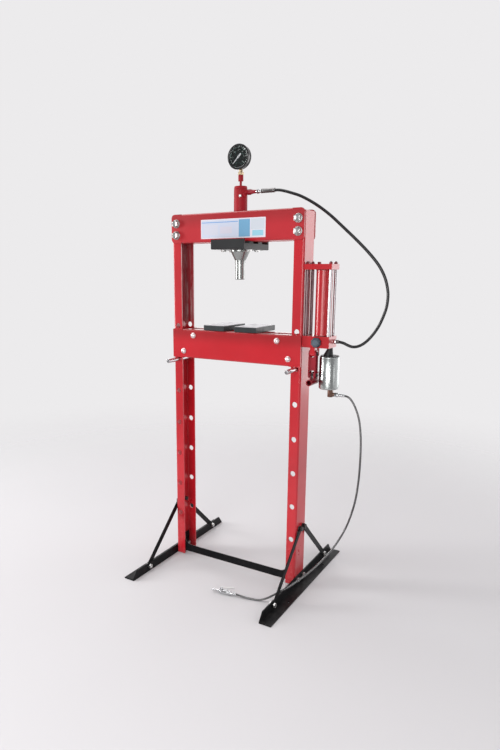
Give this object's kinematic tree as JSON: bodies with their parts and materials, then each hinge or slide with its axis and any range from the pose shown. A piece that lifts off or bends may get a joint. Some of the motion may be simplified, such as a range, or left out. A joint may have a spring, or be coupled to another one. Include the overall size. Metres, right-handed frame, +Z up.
{
  "type": "pneumatic shop press",
  "caption": "Floor-standing H-frame press with a hydraulic ram and gauge, a height-set table on pins, and a hand and air driven oil pump on its right post.",
  "frame": {"origin": "on the floor, midway between the posts and on their centre line front to back; it is the centre of the floor anchor hole pattern", "axes": "+X to the right of someone who stands in front, +Y to the back, +Z up; the operator's side is -Y"},
  "size_m": [0.9534, 0.715, 1.7565],
  "materials": {
    "red_enamel": "glossy bright red enamel",
    "dark_red_enamel": "glossy dark red enamel",
    "black_paint": "satin black paint",
    "zinc": "bright zinc plate",
    "chrome": "polished chrome",
    "ground_steel": "ground and oiled steel",
    "spring_steel": "plain spring steel",
    "brass": "machined brass",
    "brown_steel": "brown phosphated steel",
    "can_aluminium": "drawn aluminium",
    "blue_grey_plastic": "blue-grey plastic",
    "black_rubber": "black rubber",
    "dial_face": "dark printed dial",
    "white_paint": "white paint",
    "lens_glass": "clear window"
  },
  "bodies": {
    "frame": {"left_post": "red_enamel", "right_post": "red_enamel", "upper_beam_front": "red_enamel", "upper_beam_rear": "red_enamel", "beam_bolts": "zinc", "head_saddle": "black_paint", "packing_bars": "black_paint", "saddle_bolts": "zinc", "cylinder_tube": "red_enamel", "cylinder_cap": "red_enamel", "guide_bush": "brass", "ring_nut": "chrome", "wiper_ring": "zinc", "return_spring": "spring_steel", "gauge_adaptor": "red_enamel", "gauge_neck": "brass", "gauge_case": "black_paint", "gauge_bezel": "chrome", "gauge_dial": "dial_face", "gauge_lens": "lens_glass", "port_fitting": "red_enamel", "hose_ends": "chrome", "oil_hose": "black_rubber", "left_foot": "black_paint", "right_foot": "black_paint", "braces": "black_paint", "foot_bolts": "zinc", "tie_bar": "black_paint", "pump_block": "red_enamel", "oil_reservoir": "red_enamel", "pump_top_plate": "red_enamel", "pump_tie_rods": "chrome", "pump_bolts": "black_paint", "plunger_barrel": "red_enamel", "lever_links": "red_enamel", "lever_pins": "zinc", "motor_neck": "black_paint", "air_motor_can": "can_aluminium", "air_piston_spring": "spring_steel", "air_inlet": "brown_steel", "air_hose": "black_rubber", "air_valve_body": "chrome", "air_nipple": "chrome"},
    "ram": {"ram": "chrome", "piston": "zinc", "piston_seal": "black_rubber"},
    "table": {"table_beam_front": "red_enamel", "table_beam_rear": "red_enamel", "table_spacers": "black_paint", "table_bolts": "zinc", "arbor_plate_left": "black_paint", "arbor_plate_right": "black_paint"},
    "left_pin": {"table_pin_left": "chrome"},
    "right_pin": {"table_pin_right": "chrome"},
    "gauge_needle": {"gauge_needle": "white_paint"},
    "release_knob": {"release_knob": "blue_grey_plastic"},
    "pump_lever": {"pump_lever": "dark_red_enamel"},
    "pump_plunger": {"pump_plunger": "ground_steel"},
    "air_piston": {"air_piston": "zinc"},
    "air_valve_lever": {"air_valve_lever": "black_paint"}
  },
  "joints": [
    {"name": "ram_slide", "type": "slide", "parent": "frame", "child": "ram", "axis": [0, 0, -1], "range_m": [0, 0.15], "stiffness_N_per_m": 300, "springref_m": -0.3, "deforming": ["return_spring"]},
    {"name": "table_lift", "type": "slide", "parent": "frame", "child": "table", "axis": [0, 0, 1], "range_m": [0, 0.033]},
    {"name": "left_pin_pull", "type": "slide", "parent": "frame", "child": "left_pin", "axis": [0, -1, 0], "range_m": [0, 0.11]},
    {"name": "right_pin_pull", "type": "slide", "parent": "frame", "child": "right_pin", "axis": [0, -1, 0], "range_m": [0, 0.11]},
    {"name": "gauge_needle_turn", "type": "hinge", "parent": "frame", "child": "gauge_needle", "pos_m": [0, -0.0209, 1.709], "axis": [0, 1, 0], "range_deg": [0, 270]},
    {"name": "release_knob_turn", "type": "hinge", "parent": "frame", "child": "release_knob", "pos_m": [0.358, -0.05, 1.0185], "axis": [0, -1, 0], "range_deg": [0, 270]},
    {"name": "pump_lever_swing", "type": "hinge", "parent": "frame", "child": "pump_lever", "pos_m": [0.342, -0.036, 0.892], "axis": [1, 0, 0], "range_deg": [-20, 20]},
    {"name": "pump_plunger_slide", "type": "slide", "parent": "frame", "child": "pump_plunger", "axis": [0, 0, 1], "range_m": [-0.0107, 0.0107]},
    {"name": "air_piston_slide", "type": "slide", "parent": "frame", "child": "air_piston", "axis": [0, 0, 1], "range_m": [0, 0.03], "stiffness_N_per_m": 800, "springref_m": -0.03, "deforming": ["air_piston_spring"]},
    {"name": "air_valve_lever_press", "type": "hinge", "parent": "frame", "child": "air_valve_lever", "pos_m": [0.06862, -0.25491, 0.0232], "axis": [-0.1392, 0.9903, 0], "range_deg": [0, 10], "stiffness_Nm_per_rad": 0.4, "springref_deg": -6.88}
  ],
  "couplings": [
    {"joint": "pump_plunger_slide", "follows": "pump_lever_swing", "m_per_rad": 0.0305}
  ]
}
